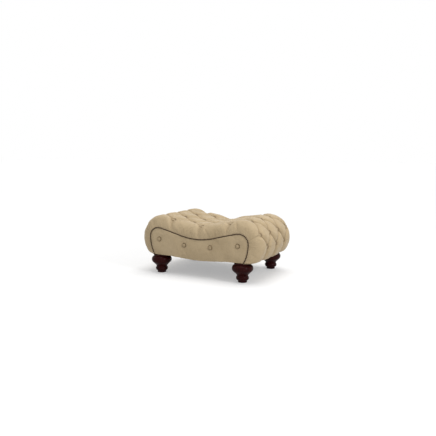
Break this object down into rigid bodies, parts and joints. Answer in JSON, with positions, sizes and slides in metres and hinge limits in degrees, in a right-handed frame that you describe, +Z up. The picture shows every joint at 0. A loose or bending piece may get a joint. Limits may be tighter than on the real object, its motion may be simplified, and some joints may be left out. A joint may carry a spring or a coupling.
{
  "type": "footstool",
  "caption": "Buttoned leather footstool with a saddle top, rolled ends, nail-trimmed facing panels and turned bun feet.",
  "frame": {"origin": "on the floor under the centre of the four feet", "axes": "+X along the length, +Y across towards the back facing panel, +Z up"},
  "size_m": [0.9414, 0.6162, 0.4098],
  "materials": {
    "leather": "satin",
    "turned_mahogany": "gloss",
    "frame_timber": "matte",
    "facing_plywood": "matte",
    "hardboard": "matte",
    "nail_bronze": "satin",
    "zinc_steel": "satin",
    "glide_nylon": "matte",
    "seat_foam": "matte",
    "jute_webbing": "matte",
    "hessian": "matte",
    "black_lining": "matte"
  },
  "bodies": {
    "root": {"tufted_cover": "leather", "cover_buttons": "leather", "front_panel_pad": "leather", "back_panel_pad": "leather", "front_panel_buttons": "leather", "back_panel_buttons": "leather", "front_left_foot": "turned_mahogany", "front_right_foot": "turned_mahogany", "back_left_foot": "turned_mahogany", "back_right_foot": "turned_mahogany", "front_base_rail": "frame_timber", "back_base_rail": "frame_timber", "left_base_rail": "frame_timber", "right_base_rail": "frame_timber", "centre_rail": "frame_timber", "left_end_board": "frame_timber", "right_end_board": "frame_timber", "front_deck_rail": "frame_timber", "back_deck_rail": "frame_timber", "left_deck_rail": "frame_timber", "right_deck_rail": "frame_timber", "front_facing_board": "facing_plywood", "back_facing_board": "facing_plywood", "front_panel_backing": "hardboard", "back_panel_backing": "hardboard", "front_nail_strip": "nail_bronze", "back_nail_strip": "nail_bronze", "hanger_bolts": "zinc_steel", "tee_nuts": "zinc_steel", "front_left_glide": "glide_nylon", "front_right_glide": "glide_nylon", "back_left_glide": "glide_nylon", "back_right_glide": "glide_nylon", "seat_foam": "seat_foam", "left_roll_foam": "seat_foam", "right_roll_foam": "seat_foam", "cross_webbing": "jute_webbing", "long_webbing": "jute_webbing", "deck_cloth": "hessian", "dust_cloth": "black_lining"}
  },
  "joints": []
}
